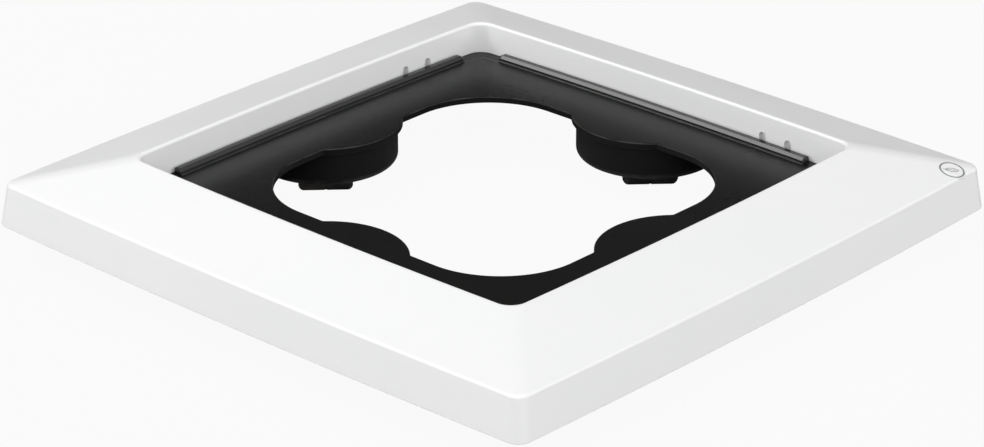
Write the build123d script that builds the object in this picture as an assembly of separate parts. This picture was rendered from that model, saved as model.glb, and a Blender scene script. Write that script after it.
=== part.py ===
from build123d import *
from math import cos, degrees, pi, sin, sqrt, atan2
import os

os.makedirs("parts", exist_ok=True)

# overall sizes, with the floor at z = 0
frame_width = 440.0           # skirt foot, side middle to side middle
ground_gap = 21.3             # floor to the foot of the skirt
plate_top = 43.8              # seat face of the carrier
crease_height = 48.2          # where the skirt turns into the slope
rim_height = 64.6             # highest line of the cover
bow = 0.0155                  # outward swell of every side, share of its half width

# cover frame
crease_half = 216.3
rim_half = 158.2
wall_foot_half = 157.0
wall_thickness = 2.8
skirt_corner = 8.9
crease_corner = 8.5
wall_corner = 11.3
gusset_stations = (-128.0, -76.0, 76.0, 128.0)
wall_slot_stations = (85.0, 105.5)
wall_slot_width = 5.6
wall_slot_depth = 3.4
wall_slot_top = plate_top + 8.2
wall_slot_pad_width = 9.0

# carrier
plate_thickness = 4.2
flange_half = 174.0
flange_corner = 27.0
flange_lip_depth = 7.0
opening_half = 112.8
opening_corner = 56.6
lobe_offset = 147.6
lobe_radius = 50.2
seat_half = 149.6             # the seat stands proud of the flange that the cover rests on
seat_corner = 6.0
seat_step = 0.2
opening_round = 0.7
rail_outer_half = 155.7
rail_inner_half = 150.2
rail_height = 4.0
rail_bevel = 1.8              # cut at 45 degrees from the rail's inner top edge
rail_reach = 130.0
rail_short = 7.0              # a rail stops this much earlier at one end
rail_foot_width = 1.3
rail_foot_height = 0.7

# caster cups
cup_radius = 47.0
cup_wall = 2.5
cup_foot = 16.3
cup_edge_radius = 5.0
pad_radius = 31.0
pad_depth = 3.0

# casters
roller_radius = 15.0
roller_width = 35.0
roller_shoulder = 4.0
core_radius = 11.0
trail = 11.0
axle_radius = 2.5
kingpin_radius = 3.0
running_gap = 0.05
top_plate_radius = 29.0
top_plate_thickness = 1.8
washer_thickness = 1.7
crown_thickness = 2.0
leg_thickness = 2.0
side_washer_thickness = 0.6
rest_turn = 45.0              # plan angle of the axles when parked

# screws and badge
screw_radius = 1.5
pilot_radius = 1.55
caster_screw_circle = 23.5
cover_screw_half = 166.4
cover_screw_reach = 100.0
badge_radius = 9.0
badge_thickness = 0.6
badge_x = 206.0
badge_y = 192.0

plate_bottom = plate_top - plate_thickness
flange_top = plate_top - seat_step
pad_bottom = plate_bottom - pad_depth
top_plate_bottom = pad_bottom - top_plate_thickness
washer_bottom = top_plate_bottom - washer_thickness
crown_top = washer_bottom - 0.1
crown_bottom = crown_top - crown_thickness
leg_inner = roller_width / 2 + side_washer_thickness + 0.15
leg_outer = leg_inner + leg_thickness
slope = (rim_height - crease_height) / (crease_half - rim_half)
side_turns = (0, 90, 180, 270)
caster_sites = {"right": (lobe_offset, 0), "back": (0, lobe_offset),
                "left": (-lobe_offset, 0), "front": (0, -lobe_offset)}


def bowed_square(half, corner, height=0.0):
    """Square outline with four swelling sides and round corners."""
    swell = bow * half
    arc_radius = (half**2 + swell**2) / (2 * swell)
    back = arc_radius - half
    reach = arc_radius - corner
    centre = (-back + sqrt(2 * reach**2 - back**2)) / 2
    tx = -back + arc_radius * (centre + back) / reach
    ty = arc_radius * centre / reach
    tip = centre + corner / sqrt(2)
    edges = []
    for turn in side_turns:
        side = ThreePointArc((tx, -ty), (half, 0), (tx, ty))
        bend = ThreePointArc((tx, ty), (tip, tip), (ty, tx))
        edges += [Rot(0, 0, turn) * side, Rot(0, 0, turn) * bend]
    return Pos(0, 0, height) * make_face(edges)


def prism(half, corner, low, high):
    return extrude(bowed_square(half, corner, low), high - low)


def taper(half_low, corner_low, low, half_high, corner_high, high):
    sections = [bowed_square(half_low, corner_low, low), bowed_square(half_high, corner_high, high)]
    return loft(sections, ruled=True)


def tube(outer, inner, low, high):
    return Pos(0, 0, low) * extrude(Circle(outer) - Circle(inner), high - low)


def rod(radius, low, high):
    return Pos(0, 0, low) * extrude(Circle(radius), high - low)


def around(shape, turns=side_turns):
    pieces = [Rot(0, 0, turn) * shape for turn in turns]
    result = pieces[0]
    for piece in pieces[1:]:
        result += piece
    return result


def pan_screw(head_low, head_high, tip):
    """Pan head screw standing on its head, cross recess on the underside."""
    head = chamfer(rod(3.2, head_low, head_high).edges().group_by(Axis.Z)[0], 0.4)
    slot = Pos(0, 0, head_low) * Box(3.2, 0.7, 1.0) + Pos(0, 0, head_low) * Box(0.7, 3.2, 1.0)
    shank = chamfer(rod(screw_radius, head_high, tip).edges().group_by(Axis.Z)[-1], 0.6)
    return head + shank - slot


def cover_screw_sites():
    return [Rot(0, 0, turn) * Pos(cover_screw_half, side * cover_screw_reach, 0)
            for turn in side_turns for side in (-1, 1)]


def badge_site():
    tilt = degrees(atan2(slope, 1))
    x, y = badge_x, badge_y
    sag = bow * y**2 / crease_half
    height = crease_height + slope * (crease_half - sag - x)
    return Pos(x, y, height) * Rot(0, tilt, 0)


def cover_frame():
    low = ground_gap
    peak_half = rim_half - 12.0
    peak = rim_height + 12.0 * slope
    body = taper(frame_width / 2, skirt_corner, low, crease_half, crease_corner, crease_height)
    body += taper(crease_half, crease_corner, crease_height, peak_half, wall_corner, peak)
    body -= taper(wall_foot_half - 0.3, wall_corner, low - 1, rim_half + 0.2, wall_corner, peak + 1)
    crease = body.edges().filter_by(lambda e: abs(e.center().Z - crease_height) < 0.01)
    body = fillet(crease, 2.0)
    rim = body.edges().filter_by(lambda e: abs(e.center().Z - rim_height) < 0.6)
    body = fillet(rim, 1.6)
    skirt_inner = crease_half - wall_thickness
    turn_height = crease_height - wall_thickness
    room = taper(frame_width / 2 - wall_thickness, 6.2, low - 1, skirt_inner, 5.8, turn_height)
    room += taper(skirt_inner, 5.8, turn_height, rim_half + 3.0, wall_corner + 2.5,
                  turn_height + slope * (skirt_inner - rim_half - 3.0))
    hollow = room - prism(wall_foot_half + wall_thickness, wall_corner + wall_thickness, flange_top, rim_height)
    body -= hollow
    for station in gusset_stations:
        web = Pos(189, station, 50.5) * Box(60, 2.0, 12.4)
        web += Pos(198.5, station, 45) * Box(41, 2.0, 16)
        body += around(web & room)
    for site in cover_screw_sites():
        body += (site * rod(3.9, flange_top, rim_height)) & room
        body -= site * rod(pilot_radius, plate_top - 1, plate_top + 8.6)
    for station in wall_slot_stations:
        floor_half = wall_foot_half + 0.5 + wall_slot_depth - bow * station**2 / wall_foot_half
        knee = wall_slot_top - wall_slot_width / 2
        pad_top = wall_slot_top + wall_slot_width
        pad_front, pad_back = wall_foot_half + 1, floor_half + 2
        pad = Box(pad_back - pad_front, wall_slot_pad_width, pad_top - flange_top)
        body += around(Pos((pad_front + pad_back) / 2, -station, (flange_top + pad_top) / 2) * pad)
        slot = Pos(floor_half - 3, -station, (plate_bottom + knee) / 2) * Box(6, wall_slot_width, knee - plate_bottom)
        slot += Pos(floor_half - 6, -station, knee) * Rot(0, 90, 0) * extrude(Circle(wall_slot_width / 2), 6)
        body -= around(slot)
    recess = badge_site() * Pos(0, 0, -badge_thickness) * extrude(Circle(badge_radius + running_gap), 3)
    return body - recess


def carrier_opening():
    corners = RectangleRounded(2 * opening_half, 2 * opening_half, opening_corner)
    for x, y in caster_sites.values():
        corners -= Pos(x, y) * Circle(lobe_radius)
    return fillet(corners.vertices().filter_by(lambda v: near_lobe_meeting(v)), 3.0)


def near_lobe_meeting(vertex):
    return any(abs(sqrt((vertex.X - x)**2 + (vertex.Y - y)**2) - lobe_radius) < 0.01
               for x, y in caster_sites.values())


def rails():
    low, inner_top = flange_top - 0.5, plate_top + rail_height - rail_bevel
    ring = prism(rail_outer_half, 10.0, low, plate_top + rail_height)
    ring -= prism(rail_inner_half, 8.0, low - 1, inner_top)
    ring -= taper(rail_inner_half, 8.0, inner_top, rail_inner_half + rail_bevel, 8.0, plate_top + rail_height)
    foot = prism(rail_inner_half + 0.5, 8.0, low, plate_top + rail_foot_height)
    foot -= prism(rail_inner_half - rail_foot_width, 7.0, low - 1, plate_top + 2)
    middle = -rail_short / 2
    half_length = rail_reach - rail_short / 2 + 1.5
    bar = ring & Pos(150, middle, plate_top + 2) * Box(30, 2 * half_length, 10)
    ends = bar.edges().filter_by(
        lambda e: abs(abs(e.center().Y - middle) - half_length) < 0.01 and e.center().Z > plate_top + 3)
    bar = chamfer(ends, 0.8)
    ledge = foot & Pos(150, middle, plate_top + 2) * Box(30, 2 * half_length - 2.0, 10)
    ledge = chamfer(ledge.edges().group_by(Axis.Z)[-1].sort_by(Axis.X)[0], 0.5)
    rail = bar + ledge
    pair = rail + mirror(rail, about=Plane(origin=(0, 0, 0), z_dir=(1, -1, 0)))
    return pair + Rot(0, 0, 180) * pair


def cup():
    knee = cup_foot + cup_edge_radius
    inner = cup_radius - cup_wall
    lip = cup_radius - cup_edge_radius
    with BuildPart() as shell:
        with BuildSketch(Plane.XZ):
            with BuildLine():
                Line((cup_radius, plate_bottom), (cup_radius, knee))
                RadiusArc((cup_radius, knee), (lip, cup_foot), cup_edge_radius)
                Line((lip, cup_foot), (lip - 2.0, cup_foot))
                Line((lip - 2.0, cup_foot), (lip - 2.0, cup_foot + cup_wall))
                Line((lip - 2.0, cup_foot + cup_wall), (lip, cup_foot + cup_wall))
                RadiusArc((lip, cup_foot + cup_wall), (inner, knee), -cup_wall)
                Line((inner, knee), (inner, plate_bottom))
                Line((inner, plate_bottom), (cup_radius, plate_bottom))
            make_face()
        revolve(axis=Axis.Z)
    pad = rod(pad_radius, pad_bottom, plate_bottom)
    return shell.part + pad


def caster_screw_spots():
    return [Rot(0, 0, turn) * Pos(caster_screw_circle, 0, 0) for turn in (0, 90, 180, 270)]


def carrier_ribs():
    """Shallow stiffening webs under the plate, kept back from the opening."""
    low, high = plate_bottom - 6.0, plate_bottom
    ring = prism(165.0, 20.0, low, high) - prism(163.0, 18.0, low - 1, high + 1)
    ring += prism(145.0, 12.0, low, high) - prism(143.0, 10.0, low - 1, high + 1)
    for turn in (45, 135, 225, 315):
        ring += Rot(0, 0, turn) * Pos(199, 0, (low + high) / 2) * Box(64, 2.0, high - low)
    for station in (-122.0, -84.0, 84.0, 122.0):
        for turn in side_turns:
            ring += Rot(0, 0, turn) * Pos(158, station, (low + high) / 2) * Box(28, 2.0, high - low)
    return ring & prism(flange_half - 1, flange_corner, low, high)


def carrier_plate():
    outline = bowed_square(flange_half, flange_corner, 0)
    for x, y in caster_sites.values():
        outline += Pos(x, y) * Circle(cup_radius)
    body = Pos(0, 0, plate_bottom) * extrude(outline - carrier_opening(), plate_thickness)
    mouth = body.edges().filter_by(lambda e: e.center().Z > plate_top - 0.01 and max(abs(e.center().X), abs(e.center().Y)) < 125)
    body = fillet(mouth, opening_round)
    body -= prism(flange_half + 30, 30.0, flange_top, plate_top + 1) - prism(seat_half, seat_corner, flange_top - 1, plate_top + 2)
    lip = prism(flange_half, flange_corner, plate_bottom - flange_lip_depth, plate_bottom)
    lip -= prism(flange_half - 2.5, flange_corner - 2.5, plate_bottom - 20, plate_bottom + 1)
    body += lip
    body += carrier_ribs()
    for x, y in caster_sites.values():
        body -= Pos(x, y, 0) * rod(cup_radius - 1.0, 0, plate_bottom)
        body += Pos(x, y, 0) * cup()
        body -= Pos(x, y, 0) * rod(4.7, pad_bottom - 1, pad_bottom + 1.5)
        for spot in caster_screw_spots():
            body -= Pos(x, y, 0) * spot * rod(pilot_radius, pad_bottom - 1, pad_bottom + 5.4)
    for site in cover_screw_sites():
        body -= site * rod(pilot_radius + 0.15, plate_bottom - 1, plate_top + 1)
        body -= site * rod(4.2, plate_bottom - 8, plate_bottom)
    return body + rails()


def top_plate():
    disc = chamfer(rod(top_plate_radius, top_plate_bottom, pad_bottom).edges(), 0.4)
    disc -= rod(kingpin_radius + 0.02, 0, 60)
    for spot in caster_screw_spots():
        disc -= spot * rod(screw_radius + 0.15, 0, 60)
    return disc


def kingpin():
    head = chamfer(rod(5.0, crown_bottom - 1.7, crown_bottom - 0.1).edges().group_by(Axis.Z)[0], 0.5)
    shank = rod(kingpin_radius, crown_bottom - 0.1, pad_bottom)
    rivet = chamfer(rod(4.4, pad_bottom, pad_bottom + 1.2).edges().group_by(Axis.Z)[-1], 0.4)
    return head + shank + rivet


def thrust_washer():
    ring = tube(12.0, kingpin_radius + 0.1, washer_bottom, top_plate_bottom)
    return chamfer(ring.edges().group_by(Axis.Z)[0], 0.3)


def yoke_leg():
    """Side cheek, wide at the crown and round about the axle."""
    outline = Pos(-trail, roller_radius) * Circle(6.2)
    shoulder = Pos(-5.5, crown_top - 2.5) * Rectangle(26, 5.0)
    cheek = make_hull(outline.edges() + shoulder.edges())
    cheek -= Pos(-trail, roller_radius) * Circle(axle_radius + 0.02)
    return Pos(leg_inner, 0, 0) * extrude(Plane.YZ * cheek, leg_thickness)


def yoke():
    disc = Circle(13.5)
    span = Pos(0, -5.5) * Rectangle(2 * leg_outer, 26)
    crown = Pos(0, 0, crown_bottom) * extrude(make_hull(disc.edges() + span.edges()), crown_thickness)
    crown -= rod(kingpin_radius + running_gap, 0, 60)
    leg = yoke_leg()
    body = crown + leg + mirror(leg, Plane.YZ)
    bends = body.edges().filter_by(Axis.Y).filter_by(
        lambda e: abs(abs(e.center().X) - leg_outer) < 0.01 and abs(e.center().Z - crown_top) < 0.01)
    return fillet(bends, 1.6)


def along_axle(shape):
    return Pos(0, -trail, roller_radius) * Rot(0, 90, 0) * shape


def axle():
    pin = rod(axle_radius, -leg_outer - 1.4, leg_outer)
    head = fillet(rod(4.2, leg_outer, leg_outer + 1.4).edges().group_by(Axis.Z)[-1], 0.9)
    return along_axle(pin + head)


def push_nut():
    cap = fillet(rod(4.2, -leg_outer - 2.2, -leg_outer).edges().group_by(Axis.Z)[0], 1.0)
    cap -= rod(axle_radius + 0.02, -leg_outer - 1.42, 1)
    return along_axle(cap)


def side_washers():
    low = roller_width / 2 + 0.08
    ring = tube(5.2, axle_radius + 0.03, low, low + side_washer_thickness)
    return along_axle(ring + mirror(ring, Plane.XY))


def roller_core():
    half = roller_width / 2
    core = tube(core_radius, axle_radius + running_gap, -half + 0.6, half - 0.6)
    hub = tube(5.0, axle_radius + running_gap, -half, half)
    groove = tube(9.4, 6.4, half - 3.6, half)
    return along_axle(core + hub - groove - mirror(groove, Plane.XY))


def roller_tyre():
    half = roller_width / 2
    ring = rod(roller_radius, -half, half)
    ring = fillet(ring.edges(), roller_shoulder - 0.5)
    ring -= rod(core_radius, -half - 1, half + 1)
    return along_axle(ring)


def corner_badge():
    disc = Pos(0, 0, -badge_thickness) * extrude(Circle(badge_radius), badge_thickness)
    return badge_site() * chamfer(disc.edges().group_by(Axis.Z)[-1], 0.12)


def caster_screws():
    screw = pan_screw(top_plate_bottom - 1.3, top_plate_bottom, pad_bottom + 5.0)
    return [Pos(x, y, 0) * spot * screw for x, y in caster_sites.values() for spot in caster_screw_spots()]


def cover_screws():
    screw = pan_screw(plate_bottom - 1.8, plate_bottom, plate_top + 8.0)
    return [site * screw for site in cover_screw_sites()]


def park(shape, site):
    return Pos(site[0], site[1], 0) * Rot(0, 0, rest_turn) * shape


def save(name, shape):
    export_step(shape, "parts/" + name + ".step")


def main():
    save("cover_frame", cover_frame())
    save("carrier_plate", carrier_plate())
    save("corner_badge", corner_badge())
    save("caster_screws", Compound(children=caster_screws()))
    save("cover_screws", Compound(children=cover_screws()))
    fixed = {"top_plate": top_plate(), "thrust_washer": thrust_washer(), "kingpin": kingpin()}
    swinging = {"yoke": yoke(), "axle": axle(), "push_nut": push_nut(),
                "side_washers": Compound(children=side_washers().solids()),
                "roller_core": roller_core(), "roller_tyre": roller_tyre()}
    for side, site in caster_sites.items():
        for name, shape in fixed.items():
            save(side + "_" + name, Pos(site[0], site[1], 0) * shape)
        for name, shape in swinging.items():
            save(side + "_" + name, park(shape, site))


main()
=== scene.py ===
import math
import bpy
import bmesh
import numpy as np
from mathutils import Matrix, Vector


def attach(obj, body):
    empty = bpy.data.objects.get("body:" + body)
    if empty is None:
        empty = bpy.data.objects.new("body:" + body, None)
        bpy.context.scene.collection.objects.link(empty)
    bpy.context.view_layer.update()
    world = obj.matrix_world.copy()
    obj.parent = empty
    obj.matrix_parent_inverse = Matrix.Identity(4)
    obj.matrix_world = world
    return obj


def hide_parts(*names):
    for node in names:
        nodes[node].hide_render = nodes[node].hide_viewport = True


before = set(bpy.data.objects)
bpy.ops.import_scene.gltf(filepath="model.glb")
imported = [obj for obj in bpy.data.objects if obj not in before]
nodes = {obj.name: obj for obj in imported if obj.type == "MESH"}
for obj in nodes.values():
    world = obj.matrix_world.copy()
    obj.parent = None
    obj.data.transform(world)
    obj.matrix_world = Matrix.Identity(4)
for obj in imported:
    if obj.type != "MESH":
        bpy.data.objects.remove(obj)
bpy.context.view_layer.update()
mm = 0.001
print("frame loaded with", len(nodes), "nodes")

# sizes shared by the pieces, in millimetres with the floor at z = 0
base = dict(
    bow=0.0155, plateTop=43.8, plateUnder=39.6, cupOffset=147.6, trail=11.0, restTurn=45.0, rollerRadius=15.0)
sites = {"right": (1, 0), "back": (0, 1), "left": (-1, 0), "front": (0, -1)}
quarterTurns = [np.array([[c, -s], [s, c]]) for c, s in ((1, 0), (0, 1), (-1, 0), (0, -1))]


def bowedOutline(half, corner, stations=None, alongSide=57, alongCorner=20):
    # four side arcs of one large radius, so that each swells by bow * half, joined by tangent corner arcs;
    # given stations stay where they are along each side, and the rest of the side is shared out beyond them
    half = np.atleast_1d(np.asarray(half, float))[:, None]
    corner = np.atleast_1d(np.asarray(corner, float))[:, None]
    swell = base["bow"] * half
    arc = (half**2 + swell**2) / (2 * swell)
    back, reach = arc - half, arc - corner
    centre = (np.sqrt(2 * reach**2 - back**2) - back) / 2
    tangent = arc * centre / reach
    if stations is None:
        along = tangent * np.linspace(-1, 1, alongSide)
    else:
        last = stations[-1]
        beyond = last + (tangent - last) * np.linspace(0, 1, 7)[1:]
        along = np.concatenate([-beyond[:, ::-1], np.broadcast_to(stations, (len(half), len(stations))), beyond], 1)
    side = np.stack([np.sqrt(arc**2 - along**2) - back, along], -1)
    limit = np.arcsin(centre / reach)
    bendAngle = limit + (math.pi / 2 - 2 * limit) * np.linspace(0, 1, alongCorner + 2)[1:-1]
    bend = np.stack([centre + corner * np.cos(bendAngle), centre + corner * np.sin(bendAngle)], -1)
    return side, bend


def closedOutline(half, corner, **settings):
    quarter = np.concatenate(bowedOutline(half, corner, **settings), 1)
    return np.concatenate([quarter @ turn.T for turn in quarterTurns], 1)


def roundedProfile(corners, steps=5, closed=True, support=0.35):
    # corners is rows of (a, b, radius, extra...): each corner becomes an arc tangent to its two sides,
    # with a support point just outside it; the last column is 1 on the arc and 0 elsewhere
    corners = np.asarray(corners, float)
    rows = []
    count = len(corners)
    for i in range(count):
        here = corners[i]
        if not closed and i in (0, count - 1):
            rows.append([*here[:2], *here[3:], 0.0])
            continue
        before, after = corners[i - 1], corners[(i + 1) % count]
        toBefore, toAfter = before[:2] - here[:2], after[:2] - here[:2]
        lengthBefore, lengthAfter = np.hypot(*toBefore), np.hypot(*toAfter)
        toBefore, toAfter = toBefore / lengthBefore, toAfter / lengthAfter
        opening = math.acos(max(-1.0, min(1.0, float(toBefore @ toAfter))))
        if math.sin(opening) < 1e-3:
            rows.append([*here[:2], *here[3:], 0.0])
            continue
        radius = max(here[2], 0.02)
        inset = radius / math.tan(opening / 2)
        middle = toBefore + toAfter
        middle = middle / np.hypot(*middle)
        hub = here[:2] + middle * radius / math.sin(opening / 2)
        start, end = here[:2] + toBefore * inset, here[:2] + toAfter * inset
        sweep = math.pi - opening
        first, last = start - hub, end - hub
        turn = np.linspace(0, 1, steps + 1)[:, None]
        arc = (np.sin((1 - turn) * sweep) * first + np.sin(turn * sweep) * last) / math.sin(sweep) + hub
        if lengthBefore > inset + 2 * support:
            rows.append([*(here[:2] + toBefore * (inset + support)), *here[3:], 0.0])
        mask = np.sin(np.linspace(0, math.pi, steps + 1))
        rows += [[*point, *here[3:], m] for point, m in zip(arc, mask)]
        if lengthAfter > inset + 2 * support:
            rows.append([*(here[:2] + toAfter * (inset + support)), *here[3:], 0.0])
    return np.array(rows)


def gridPiece(name, points, closeAlong=True, edge=None):
    # points is rows x columns x 3 in millimetres: each cell of the grid is one face. Columns always wrap,
    # rows only where they close
    rows, columns = points.shape[:2]
    index = np.arange(rows * columns).reshape(rows, columns)
    lastRow = rows if closeAlong else rows - 1
    a = index[:lastRow]
    b = np.roll(index, -1, 1)[:lastRow]
    c = np.roll(np.roll(index, -1, 0), -1, 1)[:lastRow]
    d = np.roll(index, -1, 0)[:lastRow]
    faces = np.stack([a, b, c, d], -1).reshape(-1, 4)
    flat = points.reshape(-1, 3)
    p, q, r, s = (flat[faces[:, k]] for k in range(4))
    volume = np.einsum("ij,ij->i", p, np.cross(q, r)).sum() + np.einsum("ij,ij->i", p, np.cross(r, s)).sum()
    if volume < 0:
        faces = faces[:, ::-1]
    mesh = bpy.data.meshes.new(name)
    mesh.from_pydata((flat * mm).tolist(), [], faces.tolist())
    if edge is not None:
        mesh.attributes.new("edge", "FLOAT", "POINT").data.foreach_set("value", edge.reshape(-1).astype(np.float32))
    work = bmesh.new()
    work.from_mesh(mesh)
    bmesh.ops.remove_doubles(work, verts=work.verts, dist=1e-7)
    bmesh.ops.dissolve_degenerate(work, edges=work.edges, dist=1e-8)
    work.to_mesh(mesh)
    work.free()
    mesh.shade_smooth()
    piece = bpy.data.objects.new(name, mesh)
    bpy.context.scene.collection.objects.link(piece)
    return piece


def turned(name, profile, place, steps=96, closed=True):
    # the profile's (radius, height) rows spun about the z axis, then put in place by a 4x4 matrix
    angle = np.linspace(0, 2 * math.pi, steps, endpoint=False)
    radius, height = profile[:, 0, None], profile[:, 1, None]
    points = np.stack([radius * np.cos(angle), radius * np.sin(angle), height + 0 * angle], -1)
    place = np.array(place, float)
    points = points @ place[:3, :3].T + place[:3, 3]
    edge = np.broadcast_to(profile[:, -1, None], points.shape[:2])
    return gridPiece(name, points, closeAlong=closed, edge=edge)


def wallAlong(name, path, thickness, low, high, edgeRadius=0.3):
    # an upright wall along a plan path: a rounded box section at every path point, the ends drawn to its middle
    step = np.gradient(path, axis=0)
    step = step / np.hypot(step[:, 0], step[:, 1])[:, None]
    normal = np.stack([step[:, 1], -step[:, 0]], -1)
    low = np.broadcast_to(np.asarray(low, float), len(path))
    high = np.broadcast_to(np.asarray(high, float), len(path))
    side = thickness / 2
    inner = side - edgeRadius
    across = np.array([-side, -side, -inner, inner, side, side, inner, -inner])
    rise = np.array([edgeRadius, -edgeRadius, 0, 0, -edgeRadius, edgeRadius, 0, 0])
    atTop = np.array([0, 1, 1, 1, 1, 0, 0, 0])
    height = np.where(atTop, high[:, None] + rise, low[:, None] + rise)
    plan = path[:, None, :] + normal[:, None, :] * across[None, :, None]
    points = np.concatenate([plan, height[..., None]], -1)
    cap = [np.broadcast_to(points[k].mean(0), points[k].shape) for k in (0, -1)]
    points = np.concatenate([cap[0][None], points, cap[1][None]])
    edge = np.zeros(points.shape[:2])
    edge[1:-1] = 0.5
    return gridPiece(name, points, closeAlong=False, edge=edge)


def joined(name, pieces):
    # several pieces become one mesh at the origin
    work = bmesh.new()
    for piece in pieces:
        work.from_mesh(piece.data)
    mesh = bpy.data.meshes.new(name)
    work.to_mesh(mesh)
    work.free()
    for piece in pieces:
        bpy.data.objects.remove(piece)
    result = bpy.data.objects.new(name, mesh)
    bpy.context.scene.collection.objects.link(result)
    return result


def turnPlan(path, turn):
    return path @ quarterTurns[turn].T


def crisp(piece, angle=35.0):
    # smooth faces, with a hard line only where the surface turns by more than the angle
    work = bmesh.new()
    work.from_mesh(piece.data)
    limit = math.radians(angle)
    for line in work.edges:
        line.smooth = len(line.link_faces) != 2 or line.calc_face_angle(0.0) < limit
    work.to_mesh(piece.data)
    work.free()
    return piece


def shaderGroup(name, inputs, outputs):
    group = bpy.data.node_groups.new(name, "ShaderNodeTree")
    for label, kind, value in inputs:
        socket = group.interface.new_socket(name=label, in_out="INPUT", socket_type=kind)
        if value is not None:
            socket.default_value = value
    for label, kind in outputs:
        group.interface.new_socket(name=label, in_out="OUTPUT", socket_type=kind)
    return group, Wiring(group)


class Wiring:
    # short calls for adding nodes and links to one tree
    def __init__(self, tree):
        self.tree = tree

    def add(self, kind, **settings):
        node = self.tree.nodes.new(kind)
        for key, value in settings.items():
            setattr(node, key, value)
        return node

    def feed(self, value, socket):
        if isinstance(value, bpy.types.NodeSocket):
            self.tree.links.new(value, socket)
        else:
            socket.default_value = value

    def math(self, operation, a, b=0.0, clamp=False):
        node = self.add("ShaderNodeMath", operation=operation, use_clamp=clamp)
        self.feed(a, node.inputs[0])
        self.feed(b, node.inputs[1])
        return node.outputs[0]

    def ramp(self, value, low, high, toLow=0.0, toHigh=1.0):
        node = self.add("ShaderNodeMapRange", interpolation_type="SMOOTHSTEP")
        for socket, number in zip(node.inputs, (value, low, high, toLow, toHigh)):
            self.feed(number, socket)
        return node.outputs[0]

    def noise(self, vector, scale, detail=3.0, roughness=0.5):
        node = self.add("ShaderNodeTexNoise")
        self.feed(vector, node.inputs["Vector"])
        node.inputs["Scale"].default_value = scale
        node.inputs["Detail"].default_value = detail
        node.inputs["Roughness"].default_value = roughness
        return node.outputs["Fac"]

    def mixColour(self, factor, a, b):
        node = self.add("ShaderNodeMix", data_type="RGBA")
        self.feed(factor, node.inputs[0])
        self.feed(a, node.inputs[6])
        self.feed(b, node.inputs[7])
        return node.outputs[2]

    def bump(self, height, strength, distance, normal=None):
        node = self.add("ShaderNodeBump")
        self.feed(strength, node.inputs["Strength"])
        node.inputs["Distance"].default_value = distance
        self.feed(height, node.inputs["Height"])
        if normal is not None:
            self.feed(normal, node.inputs["Normal"])
        return node.outputs["Normal"]


def makeMouldedGrain():
    # fine spark-eroded mould texture, a slow ripple of the moulding, and a patchy sheen
    group, w = shaderGroup("mouldedGrain",
        [("grainSize", "NodeSocketFloat", 900.0), ("ripple", "NodeSocketFloat", 0.5)],
        [("height", "NodeSocketFloat"), ("patches", "NodeSocketFloat"), ("speckle", "NodeSocketFloat")])
    source, result = w.add("NodeGroupInput"), w.add("NodeGroupOutput")
    where = w.add("ShaderNodeTexCoord").outputs["Object"]
    fine = w.add("ShaderNodeTexNoise")
    w.feed(where, fine.inputs["Vector"])
    w.feed(source.outputs["grainSize"], fine.inputs["Scale"])
    fine.inputs["Detail"].default_value = 2.0
    slow = w.noise(where, 26.0, 2.0, 0.4)
    height = w.math("ADD", fine.outputs["Fac"], w.math("MULTIPLY", slow, source.outputs["ripple"]))
    w.feed(height, result.inputs["height"])
    w.feed(w.ramp(w.noise(where, 9.0, 4.0, 0.55), 0.3, 0.7), result.inputs["patches"])
    w.feed(w.ramp(w.noise(where, 520.0, 2.0, 0.6), 0.55, 0.75), result.inputs["speckle"])
    return group


def makeEdgeWear():
    # how worn a spot is: the edge mask broken up by noise, plus sparse rubbed spots
    group, w = shaderGroup("edgeWear",
        [("edge", "NodeSocketFloat", 0.0), ("amount", "NodeSocketFloat", 0.5), ("spread", "NodeSocketFloat", 60.0)],
        [("wear", "NodeSocketFloat")])
    source, result = w.add("NodeGroupInput"), w.add("NodeGroupOutput")
    where = w.add("ShaderNodeTexCoord").outputs["Object"]
    breakUp = w.add("ShaderNodeTexNoise")
    w.feed(where, breakUp.inputs["Vector"])
    w.feed(source.outputs["spread"], breakUp.inputs["Scale"])
    breakUp.inputs["Detail"].default_value = 5.0
    broken = w.ramp(breakUp.outputs["Fac"], 0.35, 0.68)
    worn = w.math("MULTIPLY", broken, source.outputs["edge"])
    w.feed(w.math("MULTIPLY", worn, source.outputs["amount"], True), result.inputs["wear"])
    return group


def makeDust():
    # thin dust: more on faces that look up, and towards the floor
    group, w = shaderGroup("settledDust",
        [("amount", "NodeSocketFloat", 0.3), ("fadeHeight", "NodeSocketFloat", 0.03)],
        [("dust", "NodeSocketFloat")])
    source, result = w.add("NodeGroupInput"), w.add("NodeGroupOutput")
    coordinates = w.add("ShaderNodeTexCoord")
    where = coordinates.outputs["Object"]
    parts = w.add("ShaderNodeSeparateXYZ")
    w.feed(where, parts.inputs[0])
    lowDown = w.ramp(parts.outputs[2], 0.0, source.outputs["fadeHeight"], 1.0, 0.0)
    facing = w.add("ShaderNodeSeparateXYZ")
    w.feed(w.add("ShaderNodeNewGeometry").outputs["Normal"], facing.inputs[0])
    upward = w.ramp(facing.outputs[2], 0.4, 1.0, 0.0, 0.35)
    cloud = w.ramp(w.noise(where, 34.0, 6.0, 0.62), 0.42, 0.72)
    total = w.math("MULTIPLY", w.math("ADD", lowDown, upward), cloud)
    w.feed(w.math("MULTIPLY", total, source.outputs["amount"], True), result.inputs["dust"])
    return group


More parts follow.
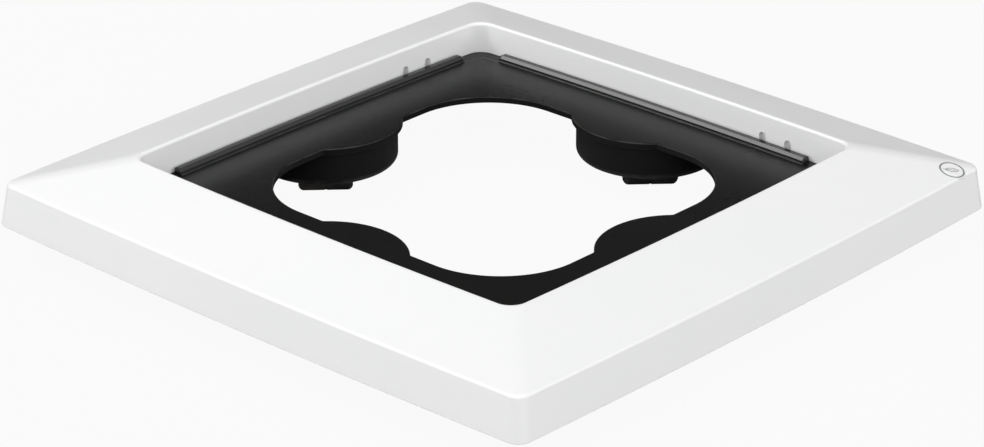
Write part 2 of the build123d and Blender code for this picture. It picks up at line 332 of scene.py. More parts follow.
def makeFineScratches():
    # long thin rub marks in two directions, as a mask and a height
    group, w = shaderGroup("fineScratches", [("density", "NodeSocketFloat", 0.5)], [("marks", "NodeSocketFloat")])
    source, result = w.add("NodeGroupInput"), w.add("NodeGroupOutput")
    where = w.add("ShaderNodeTexCoord").outputs["Object"]
    marks = None
    for turn, stretch in ((0.5, 14.0), (-0.9, 10.0)):
        mapping = w.add("ShaderNodeMapping")
        w.feed(where, mapping.inputs["Vector"])
        mapping.inputs["Rotation"].default_value = (0, 0, turn)
        mapping.inputs["Scale"].default_value = (stretch, 420.0, 60.0)
        line = w.ramp(w.noise(mapping.outputs[0], 1.0, 2.0, 0.5), 0.69, 0.74)
        marks = line if marks is None else w.math("MAXIMUM", marks, line)
    gate = w.ramp(w.noise(where, 14.0, 2.0), 0.5, 0.62)
    kept = w.math("MULTIPLY", marks, gate)
    w.feed(w.math("MULTIPLY", kept, source.outputs["density"], True), result.inputs["marks"])
    return group


mouldedGrain, edgeWear, settledDust, fineScratches = makeMouldedGrain(), makeEdgeWear(), makeDust(), makeFineScratches()
print("shader groups made")


def startMaterial(name):
    material = bpy.data.materials.new(name)
    material.use_nodes = True
    tree = material.node_tree
    shader = next(n for n in tree.nodes if n.type == "BSDF_PRINCIPLED")
    return material, Wiring(tree), shader


def placeGroup(w, group, **values):
    node = w.add("ShaderNodeGroup", node_tree=group)
    for key, value in values.items():
        w.feed(value, node.inputs[key])
    return node


def edgeMask(w, radius):
    # rounded normal and a mask of where it leaves the true one, for pieces straight from the CAD
    bevel = w.add("ShaderNodeBevel", samples=4)
    bevel.inputs["Radius"].default_value = radius
    trueNormal = w.add("ShaderNodeNewGeometry").outputs["Normal"]
    dot = w.add("ShaderNodeVectorMath", operation="DOT_PRODUCT")
    w.feed(bevel.outputs[0], dot.inputs[0])
    w.feed(trueNormal, dot.inputs[1])
    return bevel.outputs[0], w.ramp(dot.outputs["Value"], 0.995, 0.86)


def mouldedPlastic(name, look, ownEdges=False):
    material, w, shader = startMaterial(name)
    normal = None
    if ownEdges:
        normal, edge = edgeMask(w, look["edgeRadius"])
    else:
        edge = w.add("ShaderNodeAttribute", attribute_name="edge").outputs["Fac"]
    grain = placeGroup(w, mouldedGrain, grainSize=look["grainSize"], ripple=look["ripple"])
    wear = placeGroup(w, edgeWear, edge=edge, amount=look["wear"], spread=70.0).outputs[0]
    dust = placeGroup(w, settledDust, amount=look["dust"], fadeHeight=look["dustHeight"]).outputs[0]
    marks = placeGroup(w, fineScratches, density=look["scratches"]).outputs[0]
    colour = w.mixColour(grain.outputs["patches"], look["colour"], look["drift"])
    colour = w.mixColour(w.math("MULTIPLY", grain.outputs["speckle"], look["speckle"]), colour, look["speckleColour"])
    colour = w.mixColour(wear, colour, look["wornColour"])
    colour = w.mixColour(dust, colour, look["dustColour"])
    w.feed(colour, shader.inputs["Base Color"])
    rough = w.ramp(grain.outputs["patches"], 0.0, 1.0, look["roughLow"], look["roughHigh"])
    rough = w.math("ADD", rough, w.math("MULTIPLY", wear, look["wearRough"]))
    rough = w.math("ADD", rough, w.math("MULTIPLY", dust, 0.25))
    rough = w.math("ADD", rough, w.math("MULTIPLY", marks, 0.12), True)
    w.feed(rough, shader.inputs["Roughness"])
    height = w.math("SUBTRACT", grain.outputs["height"], w.math("MULTIPLY", marks, 0.6))
    w.feed(w.bump(height, look["bump"], look["bumpDepth"], normal), shader.inputs["Normal"])
    shader.inputs["IOR"].default_value = look["ior"]
    shader.inputs["Specular IOR Level"].default_value = look["specular"]
    return material


def platedSteel(name, look):
    material, w, shader = startMaterial(name)
    normal, edge = edgeMask(w, look["edgeRadius"])
    where = w.add("ShaderNodeTexCoord").outputs["Object"]
    mapping = w.add("ShaderNodeMapping")
    w.feed(where, mapping.inputs["Vector"])
    mapping.inputs["Scale"].default_value = look["brush"]
    lines = w.noise(mapping.outputs[0], 1.0, 4.0, 0.6)
    clouds = w.ramp(w.noise(where, 90.0, 4.0, 0.6), 0.35, 0.65)
    wear = placeGroup(w, edgeWear, edge=edge, amount=look["wear"], spread=160.0).outputs[0]
    dust = placeGroup(w, settledDust, amount=look["dust"], fadeHeight=0.04).outputs[0]
    colour = w.mixColour(clouds, look["colour"], look["drift"])
    colour = w.mixColour(wear, colour, look["wornColour"])
    colour = w.mixColour(dust, colour, look["dustColour"])
    w.feed(colour, shader.inputs["Base Color"])
    rough = w.ramp(lines, 0.3, 0.7, look["roughLow"], look["roughHigh"])
    rough = w.math("ADD", rough, w.math("MULTIPLY", dust, 0.3), True)
    w.feed(rough, shader.inputs["Roughness"])
    w.feed(w.math("SUBTRACT", 1.0, w.math("MULTIPLY", dust, 0.8)), shader.inputs["Metallic"])
    w.feed(w.bump(lines, look["bump"], 0.00005, normal), shader.inputs["Normal"])
    return material


coverLook = dict(
    colour=(0.862, 0.864, 0.862, 1), drift=(0.842, 0.846, 0.846, 1),
    speckle=0.05, speckleColour=(0.8, 0.8, 0.79, 1),
    wear=0.35, wornColour=(0.9, 0.9, 0.895, 1), wearRough=0.08,
    dust=0.05, dustHeight=0.032, dustColour=(0.62, 0.6, 0.56, 1),
    roughLow=0.3, roughHigh=0.38, grainSize=1500.0, ripple=0.8, bump=0.05, bumpDepth=0.0002,
    scratches=0.25, ior=1.5, specular=0.5)
carrierLook = dict(
    colour=(0.0056, 0.0064, 0.0056, 1), drift=(0.0068, 0.0078, 0.0068, 1),
    speckle=0.2, speckleColour=(0.009, 0.010, 0.009, 1),
    wear=0.6, wornColour=(0.075, 0.076, 0.074, 1), wearRough=-0.06,
    dust=0.01, dustHeight=0.02, dustColour=(0.16, 0.15, 0.135, 1),
    roughLow=0.24, roughHigh=0.3, grainSize=1300.0, ripple=0.3, bump=0.15, bumpDepth=0.0002,
    scratches=0.4, ior=1.45, specular=0.22)
railLook = dict(
    carrierLook, roughLow=0.19, roughHigh=0.23, bump=0.06, ripple=0.15, scratches=0.3, dust=0.0, specular=0.62)
coreLook = dict(
    carrierLook, colour=(0.03, 0.03, 0.032, 1), drift=(0.04, 0.04, 0.042, 1), roughLow=0.38, roughHigh=0.46)
tyreLook = dict(
    carrierLook, colour=(0.018, 0.018, 0.019, 1), drift=(0.03, 0.029, 0.028, 1),
    speckle=0.4, speckleColour=(0.06, 0.058, 0.054, 1), roughLow=0.66, roughHigh=0.8,
    grainSize=1700.0, ripple=0.5, bump=0.5, dust=0.5, dustHeight=0.02, dustColour=(0.2, 0.185, 0.165, 1))
nylonLook = dict(
    coverLook, colour=(0.72, 0.7, 0.62, 1), drift=(0.66, 0.64, 0.56, 1),
    roughLow=0.4, roughHigh=0.5, dust=0.15, edgeRadius=0.0002)
badgeLook = dict(
    coverLook, colour=(0.84, 0.842, 0.842, 1), drift=(0.82, 0.822, 0.824, 1),
    roughLow=0.22, roughHigh=0.3, edgeRadius=0.0001)
inkLook = dict(
    carrierLook, colour=(0.23, 0.235, 0.24, 1), drift=(0.28, 0.285, 0.29, 1),
    wornColour=(0.5, 0.5, 0.5, 1), dust=0.02, speckleColour=(0.35, 0.35, 0.35, 1))
zincLook = dict(
    colour=(0.56, 0.57, 0.585, 1), drift=(0.48, 0.49, 0.51, 1), wornColour=(0.72, 0.72, 0.71, 1), wear=0.7,
    dust=0.3, dustColour=(0.2, 0.19, 0.17, 1), brush=(900, 60, 900), roughLow=0.26, roughHigh=0.42,
    bump=0.15, edgeRadius=0.0003)
pinLook = dict(
    zincLook, colour=(0.5, 0.5, 0.51, 1), drift=(0.42, 0.42, 0.43, 1),
    roughLow=0.18, roughHigh=0.3, brush=(1500, 1500, 200))

finishes = {
    "coverWhite": mouldedPlastic("coverWhite", coverLook),
    "carrierBlack": mouldedPlastic("carrierBlack", carrierLook),
    "railBlack": mouldedPlastic("railBlack", railLook),
    "coreNylon": mouldedPlastic("coreNylon", coreLook),
    "tyreRubber": mouldedPlastic("tyreRubber", tyreLook),
    "washerNylon": mouldedPlastic("washerNylon", nylonLook, ownEdges=True),
    "badgeFace": mouldedPlastic("badgeFace", badgeLook, ownEdges=True),
    "badgeInk": mouldedPlastic("badgeInk", inkLook),
    "zincPressing": platedSteel("zincPressing", zincLook),
    "turnedPin": platedSteel("turnedPin", pinLook),
}


def finish(piece, name):
    piece.data.materials.clear()
    piece.data.materials.append(finishes[name])


def settle(piece, finishName, body="base"):
    finish(piece, finishName)
    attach(piece, body)


print("materials made")


cover = dict(
    footHalf=220.0, footHeight=21.3, footCorner=8.9,
    creaseHalf=216.3, creaseHeight=48.2, creaseCorner=8.5, creaseRound=2.0,
    rimHalf=158.2, rimHeight=64.6, rimRound=1.7, wallHalf=157.5, wallFoot=43.6, wallCorner=11.3, wall=2.8,
    slotStations=(-85.0, -105.5), slotHalfWidth=2.8, slotDepth=3.4, slotTop=52.0,
    padHalfWidth=4.5, padTop=57.6, pad=3.1, webStations=(-128.0, -76.0, 76.0, 128.0), webWall=2.0,
    bossHalf=166.4, bossReach=100.0, bossRadius=3.9, bossBore=1.55, bossTop=52.0)
coverSlope = (cover["rimHeight"] - cover["creaseHeight"]) / (cover["creaseHalf"] - cover["rimHalf"])
underHalf = cover["creaseHalf"] - cover["wall"]
underHeight = cover["creaseHeight"] - cover["wall"]


def underside(x):
    # height of the slope's hollow side at a half width
    return underHeight + coverSlope * (underHalf - x)


def coverColumns(c):
    # places along a side: even ones, and doubled ones where a slot's or its backing pad's walls stand;
    # with each come the slot's and the pad's share there, and the height of the slot's round top
    w, p = c["slotHalfWidth"], c["padHalfWidth"]
    off = np.array([-p - 0.4, -p, -p, -w - 0.3, -w, -w, -0.92 * w, -0.72 * w, -0.4 * w, 0,
                    0.4 * w, 0.72 * w, 0.92 * w, w, w, w + 0.3, p, p, p + 0.4])
    inSlot = np.array([0] * 5 + [1] * 9 + [0] * 5)
    inPad = np.array([0] * 2 + [1] * 15 + [0] * 2)
    arch = np.sqrt(np.maximum(w**2 - off**2, 0))
    even = np.linspace(-120, 120, 61)
    even = even[np.min(np.abs(even[:, None] - np.array(c["slotStations"])), 1) > p + 1.5]
    rows = [np.stack([even, 0 * even, 0 * even, 0 * even], -1)]
    rows += [np.stack([station + off, inSlot, inPad, arch], -1) for station in c["slotStations"]]
    rows = np.concatenate(rows)
    order = np.lexsort((np.arange(len(rows)), rows[:, 0]))
    return rows[order].T


def coverShell(c):
    # one closed section carried round the bowed square; the slot and pad rows are pushed out at the slots
    outerWall = c["wallHalf"] - 0.5 + c["wall"]
    spring = c["slotTop"] - c["slotHalfWidth"]
    lean = (c["rimHalf"] - c["wallHalf"]) / (c["rimHeight"] - c["wallFoot"])
    springHalf = c["wallHalf"] + lean * (spring - c["wallFoot"])
    inCorner, outCorner = c["wallCorner"], c["wallCorner"] + c["wall"]
    corners = [
        (c["footHalf"], c["footHeight"], 0.5, c["footCorner"], 0, 0, 0),
        (c["creaseHalf"], c["creaseHeight"], c["creaseRound"], c["creaseCorner"], 0, 0, 0),
        (c["rimHalf"], c["rimHeight"], c["rimRound"], inCorner, 0, 0, 0),
        (springHalf, spring, 0, inCorner, 0, 0, 1),
        (springHalf - lean * 0.01, spring - 0.01, 0, inCorner, 1, 0, 1),
        (c["wallHalf"], c["wallFoot"], 0.3, inCorner, 1, 0, 0),
        (outerWall, c["wallFoot"], 0.3, outCorner, 0, 1, 0),
        (outerWall, c["padTop"], 0, outCorner, 0, 1, 0),
        (outerWall, c["padTop"] + 0.01, 0, outCorner, 0, 0, 0),
        (outerWall, underside(outerWall), 1.2, outCorner, 0, 0, 0),
        (underHalf, underHeight, 1.5, 5.8, 0, 0, 0),
        (c["footHalf"] - c["wall"], c["footHeight"], 0.4, 6.2, 0, 0, 0)]
    half, height, corner, slotRow, padRow, archRow, mask = roundedProfile(corners, steps=7).T[:, :, None]
    stations, inSlot, inPad, arch = coverColumns(c)
    side, bend = bowedOutline(half[:, 0], corner[:, 0], stations=stations)
    extra = (side.shape[1] - len(stations)) // 2
    inSlot, inPad, arch = (np.pad(row, extra) for row in (inSlot, inPad, arch))
    side[..., 0] += slotRow * inSlot * c["slotDepth"] + padRow * inPad * c["pad"]
    quarter = np.concatenate([side, bend], 1)
    lift = np.concatenate([archRow * arch, np.zeros(bend.shape[:2])], 1)
    plan = np.concatenate([quarter @ turn.T for turn in quarterTurns], 1)
    rise = height + np.tile(lift, 4)
    edge = np.broadcast_to(mask, rise.shape)
    return gridPiece("coverShell", np.concatenate([plan, rise[..., None]], -1), edge=edge)


def makeCover():
    c = cover
    shell = coverShell(c)
    webs = []
    bossProfile = roundedProfile([
        (c["bossBore"], c["bossTop"], 0.1), (c["bossBore"], c["wallFoot"], 0.3),
        (c["bossRadius"], c["wallFoot"], 0.3), (c["bossRadius"], underside(c["bossHalf"]) + 0.8, 0.1)])
    for turn in range(4):
        for side in (-1, 1):
            x, y = turnPlan(np.array([c["bossHalf"], side * c["bossReach"]]), turn)
            webs.append(turned("boss", bossProfile, Matrix.Translation((x, y, 0)), 32))
        for station in c["webStations"]:
            along = np.array([159.5, 168, 173.4, 177.9, 178.1, 190, 203, 213.2, 215.0, 216.2])
            low = np.where(along < 178, 44.3, 37.0)
            high = np.minimum(underside(along) + 0.4, 56.7)
            high[-2:] = (44.0, 37.4)
            path = turnPlan(np.stack([along, np.full(len(along), station)], -1), turn)
            webs.append(wallAlong("web", path, c["webWall"], low, high, 0.25))
    webSet = joined("coverWebs", webs)
    for piece in (shell, webSet):
        crisp(piece, 40.0)
        settle(piece, "coverWhite")
    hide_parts("cover_frame")


makeCover()
print("cover frame made")


carrier = dict(
    flangeHalf=174.0, flangeCorner=27.0, lipDepth=7.0, lipWall=2.5, lipStart=38.6,
    openingHalf=112.8, openingCorner=56.6, lobeRadius=50.2, meeting=3.0, edgeRound=0.7,
    seatHalf=149.6, seatCorner=6.0, seatStep=0.2, cupRadius=47.0, cupWall=2.5, cupFoot=16.3, cupEdge=5.0,
    padRadius=31.0, padUnder=36.6, pinWell=4.7, pinWellTop=38.1,
    railOuter=155.7, railInner=150.2, railRise=4.0, railBevel=1.8, railReach=127.9, railShift=3.5,
    railFoot=1.3, railFootRise=0.7, railEnd=0.8,
    webWall=2.0, webDepth=6.0, webSquares=((164.0, 19.0, 43.0), (144.0, 11.0, 46.5)), webDiagonal=(118.5, 156.5),
    webSpokes=(-122.0, -84.0, 84.0, 122.0), spokeInner=144.0, spokeOuter=171.0)


def arcPoints(centre, radius, start, end, count):
    angle = np.radians(np.linspace(start, end, count))
    return np.stack([centre[0] + radius * np.cos(angle), centre[1] + radius * np.sin(angle)], -1)


def lobedOpening():
    # one eighth: the lobe's arc, a small fillet, a straight side and half a corner arc; then mirrored and turned
    k = carrier
    away, half = base["cupOffset"], k["openingHalf"]
    hubX = half - k["meeting"]
    hubY = math.sqrt((k["lobeRadius"] + k["meeting"])**2 - (away - hubX)**2)
    lean = math.degrees(math.atan2(hubY, away - hubX))
    corner = half - k["openingCorner"]
    lobe = arcPoints((away, 0), k["lobeRadius"], 180, 180 - lean, 22)
    fillet = arcPoints((hubX, hubY), k["meeting"], -lean, 0, 7)[1:]
    straight = np.stack([np.full(5, half), np.linspace(hubY, corner, 7)[1:-1]], -1)
    bend = arcPoints((corner, corner), k["openingCorner"], 0, 45, 40)
    eighth = np.concatenate([lobe, fillet, straight, bend])
    quarter = np.concatenate([eighth, eighth[-2:0:-1, ::-1]])
    return np.concatenate([quarter @ turn.T for turn in quarterTurns])


def squareAt(half, corner, angle):
    # a bowed square's distance from the middle at each plan angle
    square = closedOutline(half, corner, alongSide=121, alongCorner=60)[0]
    around = np.arctan2(square[:, 1], square[:, 0])
    order = np.argsort(around)
    return np.interp(angle, around[order], np.hypot(*square.T)[order], period=2 * math.pi)


def onAngle(reach, angle):
    return np.stack([reach * np.cos(angle), reach * np.sin(angle)], -1)


def flangeOutline(angle):
    # the flange's edge at a plan angle: the bowed square, or a cup's round where that reaches further
    reach = squareAt(carrier["flangeHalf"], carrier["flangeCorner"], angle)
    away, radius = base["cupOffset"], carrier["cupRadius"]
    for x, y in sites.values():
        off = (angle - math.atan2(y, x) + math.pi) % (2 * math.pi) - math.pi
        inside = radius**2 - (away * np.sin(off))**2
        cup = away * np.cos(off) + np.sqrt(np.maximum(inside, 0))
        reach = np.where((inside > 0) & (np.abs(off) < 1), np.maximum(reach, cup), reach)
    return onAngle(reach, angle)


def outwardNormals(outline):
    step = np.roll(outline, -1, 0) - np.roll(outline, 1, 0)
    step = step / np.hypot(step[:, 0], step[:, 1])[:, None]
    return np.stack([step[:, 1], -step[:, 0]], -1)


def makePlate():
    # rings between the opening and the flange's edge: the opening's wall, a rounded lip, the seat, the small
    # step down to the flange, the outer edge and the underside, closed on itself
    k, top, under = carrier, base["plateTop"], base["plateUnder"]
    inner = lobedOpening()
    angle = np.arctan2(inner[:, 1], inner[:, 0])
    outer = flangeOutline(angle)
    outward = outwardNormals(inner)
    flange = top - k["seatStep"]

    def seatAt(inset):
        return onAngle(squareAt(k["seatHalf"] - inset, k["seatCorner"], angle), angle)

    def lip(inset, height, mask=0.0):
        return np.column_stack([inner + outward * inset, np.full(len(inner), height)]), mask

    def between(start, end, share, height, mask=0.0):
        return np.column_stack([start * (1 - share) + end * share, np.full(len(inner), height)]), mask

    turns, smallTurns = np.linspace(0, math.pi / 2, 7), np.linspace(0, math.pi / 2, 4)
    small = 0.4
    lipEdge = inner + outward * k["edgeRound"]
    rings = [lip(0, height) for height in (under + small + 0.3, (under + top) / 2, top - k["edgeRound"] - 0.3)]
    rings += [lip(k["edgeRound"] * (1 - math.cos(t)), top - k["edgeRound"] * (1 - math.sin(t)), math.sin(2 * t))
              for t in turns]
    rings += [lip(k["edgeRound"] + 0.35, top)]
    rings += [between(lipEdge, seatAt(0.2), share, top) for share in (0.15, 0.4, 0.7, 0.97)]
    rings += [between(lipEdge, seatAt(0.06), 1, top), between(lipEdge, seatAt(0), 1, top - 0.06, 0.6),
              between(lipEdge, seatAt(0), 1, flange)]
    rings += [between(seatAt(0), outer, share, flange) for share in (0.04, 0.5, 0.96)]
    rings += [between(seatAt(0), outer, 1, flange - 0.3, 0.5), between(seatAt(0), outer, 1, under)]
    rings += [between(inner + outward * small, outer, share, under) for share in (0.98, 0.7, 0.4, 0.12)]
    rings += [lip(small * (1 - math.sin(t)), under + small * (1 - math.cos(t)), math.sin(2 * t)) for t in smallTurns]
    points = np.array([ring[0] for ring in rings])
    edge = np.broadcast_to(np.array([ring[1] for ring in rings])[:, None], points.shape[:2])
    plate = gridPiece("carrierPlateSkin", points, edge=edge)
    crisp(plate, 50.0)
    settle(plate, "carrierBlack")
    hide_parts("carrier_plate")


def cornerRun(half, corner, start):
    # the stretch of a bowed square round its +X +Y corner, from one side's station to the next side's
    whole = closedOutline(half, corner, alongSide=121, alongCorner=24)[0]
    span = len(whole) // 4
    run = np.concatenate([whole[:span], whole[span:2 * span]])
    reach = half - base["bow"] * start**2 / half
    keep = (run[:, 1] > start) & (run[:, 0] > start)
    return np.concatenate([[(reach, start)], run[keep], [(start, reach)]])


def makeUnderside():
    k, under = carrier, base["plateUnder"]
    sunk = under + 0.3
    strips = []

    def web(path, turn):
        strips.append(wallAlong("web", turnPlan(path, turn), k["webWall"], under - k["webDepth"], sunk))

    for turn in range(4):
        lip = cornerRun(k["flangeHalf"] - k["lipWall"] / 2, k["flangeCorner"], k["lipStart"])
        strips.append(wallAlong("lip", turnPlan(lip, turn), k["lipWall"], under - k["lipDepth"], sunk, 0.4))
        for half, corner, start in k["webSquares"]:
            web(cornerRun(half, corner, start), turn)
        reach = np.linspace(*k["webDiagonal"], 8)
        web(np.stack([reach, reach], -1), turn)
        for station in k["webSpokes"]:
            reach = np.linspace(k["spokeInner"], k["spokeOuter"] - 0.5 * (abs(station) > 100), 5)
            web(np.stack([reach, np.full(5, station)], -1), turn)
    piece = joined("carrierUndersideWebs", strips)
    crisp(piece, 50.0)
    settle(piece, "carrierBlack")


def makeRails():
    # a bar of constant section along each side, following the side's swell: x = h - bow * y * y / h
    k, top = carrier, base["plateTop"]
    section = roundedProfile([
        (k["railInner"] - k["railFoot"], -0.4, 0.05), (k["railInner"] - k["railFoot"], k["railFootRise"], 0.35),
        (k["railInner"], k["railFootRise"], 0.15), (k["railInner"], k["railRise"] - k["railBevel"], 0.25),
        (k["railInner"] + k["railBevel"], k["railRise"], 0.25), (k["railOuter"], k["railRise"], 0.5),
        (k["railOuter"], -0.4, 0.05)], steps=4, support=0.15)
    length, endRound = 2 * k["railReach"], k["railEnd"]
    nearEnd = np.array([0, 0.25, endRound])
    middle = np.linspace(2 * endRound, length - 2 * endRound, 49)
    station = np.concatenate([nearEnd, middle, length - nearEnd[::-1]])
    ends = np.minimum(station, length - station)
    drop = np.sqrt(np.clip(1 - (1 - np.clip(ends / endRound, 0, 1))**2, 0, 1))
    station = station - k["railReach"]
    bars = []
    for turn in range(4):
        h, rise = section[None, :, 0], section[None, :, 1]
        along = station[:, None] + k["railShift"] * (-1, 1)[turn % 2]
        x = h - base["bow"] * along**2 / h
        height = top + np.where(rise > 1.5, rise - endRound * (1 - drop[:, None]), rise)
        plan = np.stack([x, along + 0 * h], -1) @ quarterTurns[turn].T
        points = np.concatenate([plan, height[..., None]], -1)
        caps = [np.broadcast_to(points[i].mean(0), points[i].shape)[None] for i in (0, -1)]
        points = np.concatenate([caps[0], points, caps[1]])
        edge = np.broadcast_to(section[None, :, -1], points.shape[:2])
        bars.append(gridPiece("rail", points, closeAlong=False, edge=edge))
    piece = joined("carrierRails", bars)
    crisp(piece, 50.0)
    settle(piece, "railBlack")


def makeCups():
    # each cup is a closed section spun about its own upright axis
    k, under = carrier, base["plateUnder"]
    lipOuter, inner = k["cupRadius"] - k["cupEdge"], k["cupRadius"] - k["cupWall"]
    floorOuter, floorTop = lipOuter - 2, k["cupFoot"] + k["cupWall"]
    section = roundedProfile([
        (k["cupRadius"], under + 0.4, 0.1), (k["cupRadius"], k["cupFoot"], k["cupEdge"]),
        (floorOuter, k["cupFoot"], 0.5), (floorOuter, floorTop, 0.5),
        (inner, floorTop, 2.3), (inner, under + 0.4, 0.1)], steps=8)
    pad = roundedProfile([
        (0, under + 0.4, 0), (k["padRadius"], under + 0.4, 0.1), (k["padRadius"], k["padUnder"], 0.6),
        (k["pinWell"], k["padUnder"], 0.2), (k["pinWell"], k["pinWellTop"], 0.1),
        (0, k["pinWellTop"], 0)], closed=False)
    cups = []
    for x, y in sites.values():
        place = Matrix.Translation((x * base["cupOffset"], y * base["cupOffset"], 0))
        cups.append(turned("cup", section, place, 160))
        cups.append(turned("pad", pad, place, 72, closed=False))
    piece = joined("casterCups", cups)
    crisp(piece, 50.0)
    settle(piece, "carrierBlack")


makePlate()
makeUnderside()
makeRails()
makeCups()
print("carrier made")


roller = dict(
    radius=15.0, width=35.0, shoulder=4.0, coreRadius=11.0, bore=2.55, hubRadius=5.0,
    grooveIn=6.4, grooveOut=9.4, grooveDepth=3.6, groove=0.9, grooveSink=0.3, recess=0.6)


def rollerPlace(side):
    # the roller's axis along local x, trailing behind the swivel's axis
    x, y = (v * base["cupOffset"] for v in sites[side])
    turn = math.radians(base["restTurn"])
    centre = (x + base["trail"] * math.sin(turn), y - base["trail"] * math.cos(turn), base["rollerRadius"])
    return Matrix.Translation(centre) @ Matrix.Rotation(turn, 4, "Z") @ Matrix.Rotation(math.pi / 2, 4, "Y")


def makeRollers():
    k = roller
    half = k["width"] / 2
    # a shallow groove runs round the middle of the tread
    low, edge, sink = k["radius"] - k["grooveSink"], k["groove"], k["grooveSink"]
    tread = roundedProfile([
        (k["coreRadius"], -half + 0.3, 0.2), (k["coreRadius"] + 1.2, -half, 0.3),
        (k["radius"], -half, k["shoulder"] - 0.5), (k["radius"], -edge, 0.12), (low, -edge + sink, 0.12),
        (low, edge - sink, 0.12), (k["radius"], edge, 0.12), (k["radius"], half, k["shoulder"] - 0.5),
        (k["coreRadius"] + 1.2, half, 0.3), (k["coreRadius"], half - 0.3, 0.2)], steps=8, support=0.3)
    # the core is the same on both faces: one side is listed, and mirrored for the other
    face, deep = half - k["recess"], half - k["grooveDepth"]
    oneSide = [
        (k["bore"], half, 0.3), (k["hubRadius"], half, 0.4), (k["hubRadius"], face, 0.1),
        (k["grooveIn"], face, 0.3), (k["grooveIn"], deep, 0.4), (k["grooveOut"], deep, 0.4),
        (k["grooveOut"], face, 0.3), (k["coreRadius"], face, 0.2)]
    otherSide = [(radius, -height, fillet) for radius, height, fillet in oneSide]
    core = roundedProfile(otherSide + oneSide[::-1], steps=3, support=0.2)
    for side in sites:
        place = rollerPlace(side)
        tyre = crisp(turned(side + "Tread", tread, place, 96), 50.0)
        settle(tyre, "tyreRubber", side + "_roller")
        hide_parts(side + "_roller_tyre")
        hub = crisp(turned(side + "Core", core, place, 72), 50.0)
        settle(hub, "coreNylon", side + "_roller")
        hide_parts(side + "_roller_core")


makeRollers()
print("rollers made")


nodeFinish = {
    "top_plate": "zincPressing", "kingpin": "turnedPin", "thrust_washer": "washerNylon", "yoke": "zincPressing",
    "axle": "turnedPin", "push_nut": "zincPressing", "side_washers": "washerNylon"}
for side in sites:
    for suffix, finishName in nodeFinish.items():
        finish(nodes[side + "_" + suffix], finishName)
finish(nodes["caster_screws"], "turnedPin")
finish(nodes["cover_screws"], "turnedPin")
finish(nodes["corner_badge"], "badgeFace")


badge = dict(
    x=206.0, y=192.0, ringRadius=7.6, line=1.2, rise=0.16, sink=0.05,
    leafLength=8.6, leafRadius=6.2, leafTurn=50.0, leafLine=0.55, ribLine=0.5)


def badgePlace():
    # the badge lies on the slope: tilted about y, at the slope's own height
    k = badge
    sag = base["bow"] * k["y"]**2 / cover["creaseHalf"]
    height = cover["creaseHeight"] + coverSlope * (cover["creaseHalf"] - sag - k["x"])
    return Matrix.Translation((k["x"], k["y"], height)) @ Matrix.Rotation(math.atan(coverSlope), 4, "Y")


def inkLine(name, path, width, place):
    # a low rounded bead along a plan path on the badge's face
    step = np.gradient(path, axis=0)
    step = step / np.hypot(step[:, 0], step[:, 1])[:, None]
    normal = np.stack([step[:, 1], -step[:, 0]], -1)
    share = np.linspace(0, math.pi, 7)
    across, rise = -np.cos(share) * width / 2, np.sin(share) * badge["rise"]
    across, rise = np.append(across, [width / 2, -width / 2]), np.append(rise, [-badge["sink"]] * 2)
    plan = path[:, None, :] + normal[:, None, :] * across[None, :, None]
    points = np.concatenate([plan, np.broadcast_to(rise[None, :, None], plan.shape[:2] + (1,))], -1)
    caps = [np.broadcast_to(points[i].mean(0), points[i].shape)[None] for i in (0, -1)]
    points = np.concatenate([caps[0], points, caps[1]])
    place = np.array(place, float)
    points = points @ place[:3, :3].T + place[:3, 3]
    return gridPiece(name, points, closeAlong=False)


def makeBadgeMarking():
    # a plain ring round a plain leaf: two arcs that meet at its tips, and a midrib
    k, place = badge, badgePlace()
    ringSection = []
    for t in np.linspace(0, 1.9 * math.pi, 12):
        rise = k["rise"] * math.sin(t) if t <= math.pi else -k["sink"]
        ringSection.append((k["ringRadius"] + k["line"] / 2 * math.cos(t), rise, 0, 0))
    lines = [turned("ring", np.array(ringSection), place, 96)]
    halfChord = k["leafLength"] / 2
    depth = math.sqrt(k["leafRadius"]**2 - halfChord**2)
    sweep = math.degrees(math.asin(halfChord / k["leafRadius"]))
    turn = math.radians(k["leafTurn"])
    rotate = np.array([[math.cos(turn), -math.sin(turn)], [math.sin(turn), math.cos(turn)]])
    for side in (-1, 1):
        arc = arcPoints((0, 0), k["leafRadius"], 90 - sweep, 90 + sweep, 17) - (0, depth)
        arc[:, 1] *= side
        lines.append(inkLine("leaf", arc @ rotate.T, k["leafLine"], place))
    rib = np.stack([np.linspace(-halfChord - 1.3, halfChord * 0.55, 9), np.zeros(9)], -1)
    lines.append(inkLine("rib", rib @ rotate.T, k["ribLine"], place))
    piece = joined("badgeMarking", lines)
    crisp(piece, 70.0)
    settle(piece, "badgeInk")


makeBadgeMarking()
print("badge marked")


studio = dict(
    floorSize=8.0, floorColour=(0.25, 0.25, 0.25, 1), floorDrift=(0.245, 0.245, 0.245, 1),
    floorGlow=0.94, floorRough=0.8, floorSpecular=0.1, worldStrength=0.82,
    shadeTowards=(-0.62, 0.67, 0.41), shadeStart=0.45, shadeEnd=0.8, shadeFloor=0.08,
    lens=130.33, aim=(0.0079, -0.0108, 0.0213), distance=2.190, azimuth=42.5, elevation=24.46)
# name, place, aim, size in metres, power in watts
lamps = [
    ("keyLamp", (-1.36, -0.9, 1.47), (0, 0, 0), 0.9, 15.0),
    ("frontLamp", (2.2, -2.64, 2.2), (0, 0, 0), 3.2, 28.0),
    ("lowLeftLamp", (-0.88, -4.26, 0.88), (0, 0, 0.03), 2.8, 34.0),
    ("lowRightLamp", (4.26, 0.44, 0.88), (0, 0, 0.03), 2.8, 30.0),
    ("backRightLamp", (3.3, 2.0, 2.1), (0, 0, 0), 2.8, 30.0),
    ("topLamp", (0, 0, 2.3), (0, 0, 0), 2.0, 3.0)]


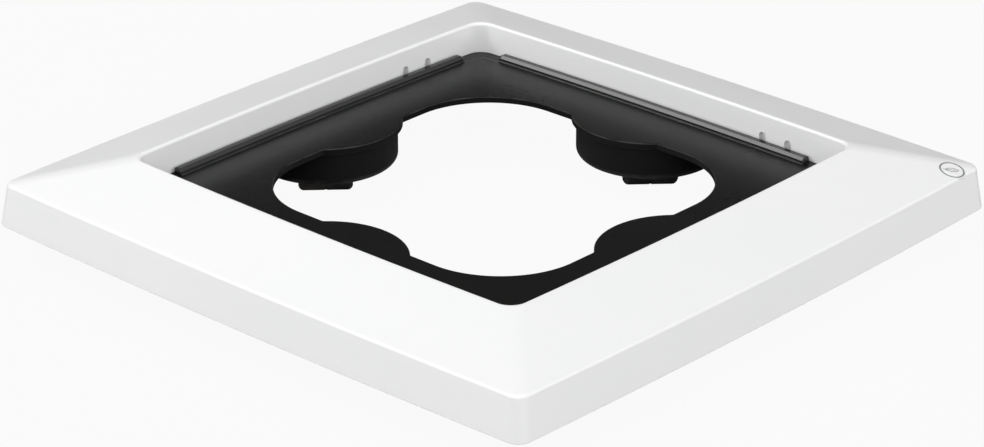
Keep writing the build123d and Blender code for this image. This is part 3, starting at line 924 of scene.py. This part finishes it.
def makeFloor():
    size = studio["floorSize"]
    mesh = bpy.data.meshes.new("studioFloor")
    mesh.from_pydata([(-size, -size, 0), (size, -size, 0), (size, size, 0), (-size, size, 0)], [], [(0, 1, 2, 3)])
    floor = bpy.data.objects.new("studioFloor", mesh)
    bpy.context.scene.collection.objects.link(floor)
    material, w, shader = startMaterial("paleFloor")
    cloud = w.noise(w.add("ShaderNodeTexCoord").outputs["Object"], 3.0)
    w.feed(w.mixColour(cloud, studio["floorColour"], studio["floorDrift"]), shader.inputs["Base Color"])
    shader.inputs["Roughness"].default_value = studio["floorRough"]
    shader.inputs["Specular IOR Level"].default_value = studio["floorSpecular"]
    # the floor glows white where it is seen directly, and keeps only a soft part of its shadows
    glow = w.add("ShaderNodeEmission")
    glow.inputs["Color"].default_value = (1, 1, 1, 1)
    blend = w.add("ShaderNodeMixShader")
    seen = w.add("ShaderNodeLightPath").outputs["Is Camera Ray"]
    w.feed(w.math("MULTIPLY", seen, studio["floorGlow"]), blend.inputs[0])
    w.feed(shader.outputs[0], blend.inputs[1])
    w.feed(glow.outputs[0], blend.inputs[2])
    # from below the floor is clear, so that the underside can be looked at
    fromBelow = w.add("ShaderNodeMixShader")
    w.feed(w.add("ShaderNodeNewGeometry").outputs["Backfacing"], fromBelow.inputs[0])
    w.feed(blend.outputs[0], fromBelow.inputs[1])
    w.feed(w.add("ShaderNodeBsdfTransparent").outputs[0], fromBelow.inputs[2])
    output = next(n for n in material.node_tree.nodes if n.type == "OUTPUT_MATERIAL")
    w.feed(fromBelow.outputs[0], output.inputs["Surface"])
    floor.data.materials.append(material)


def makeSurround():
    # bright all round but for a dark screen behind the planter base, which keeps the black parts deep
    world = bpy.data.worlds.new("studioWorld")
    bpy.context.scene.world = world
    world.use_nodes = True
    w = Wiring(world.node_tree)
    backdrop = world.node_tree.nodes["Background"]
    backdrop.inputs["Color"].default_value = (1, 1, 1, 1)
    facing = w.add("ShaderNodeVectorMath", operation="DOT_PRODUCT")
    facing.inputs[1].default_value = studio["shadeTowards"]
    w.feed(w.add("ShaderNodeTexCoord").outputs["Generated"], facing.inputs[0])
    fade = w.ramp(facing.outputs["Value"], studio["shadeStart"], studio["shadeEnd"],
                  studio["worldStrength"], studio["shadeFloor"])
    # seen directly, the surround is even
    direct = w.add("ShaderNodeMix")
    w.feed(w.add("ShaderNodeLightPath").outputs["Is Camera Ray"], direct.inputs[0])
    w.feed(fade, direct.inputs[2])
    direct.inputs[3].default_value = 1.0
    w.feed(direct.outputs[0], backdrop.inputs["Strength"])


def makeLamps():
    for name, place, aim, size, power in lamps:
        lamp = bpy.data.lights.new(name, "AREA")
        lamp.shape = "SQUARE"
        lamp.size = size
        lamp.energy = power
        holder = bpy.data.objects.new(name, lamp)
        holder.location = place
        holder.rotation_euler = (Vector(aim) - Vector(place)).to_track_quat("-Z", "Y").to_euler()
        bpy.context.scene.collection.objects.link(holder)


def makeCamera():
    s = studio
    turn, rise = math.radians(s["azimuth"]), math.radians(s["elevation"])
    back = Vector((math.sin(turn) * math.cos(rise), -math.cos(turn) * math.cos(rise), math.sin(rise)))
    lens = bpy.data.cameras.new("productCamera")
    lens.lens = s["lens"]
    lens.sensor_width = 36.0
    lens.clip_end = 50.0
    camera = bpy.data.objects.new("productCamera", lens)
    camera.location = Vector(s["aim"]) + back * s["distance"]
    camera.rotation_euler = back.to_track_quat("Z", "Y").to_euler()
    bpy.context.scene.collection.objects.link(camera)
    bpy.context.scene.camera = camera


makeFloor()
makeSurround()
makeLamps()
makeCamera()
bpy.context.scene.view_settings.view_transform = "Standard"
print("stage and camera set")
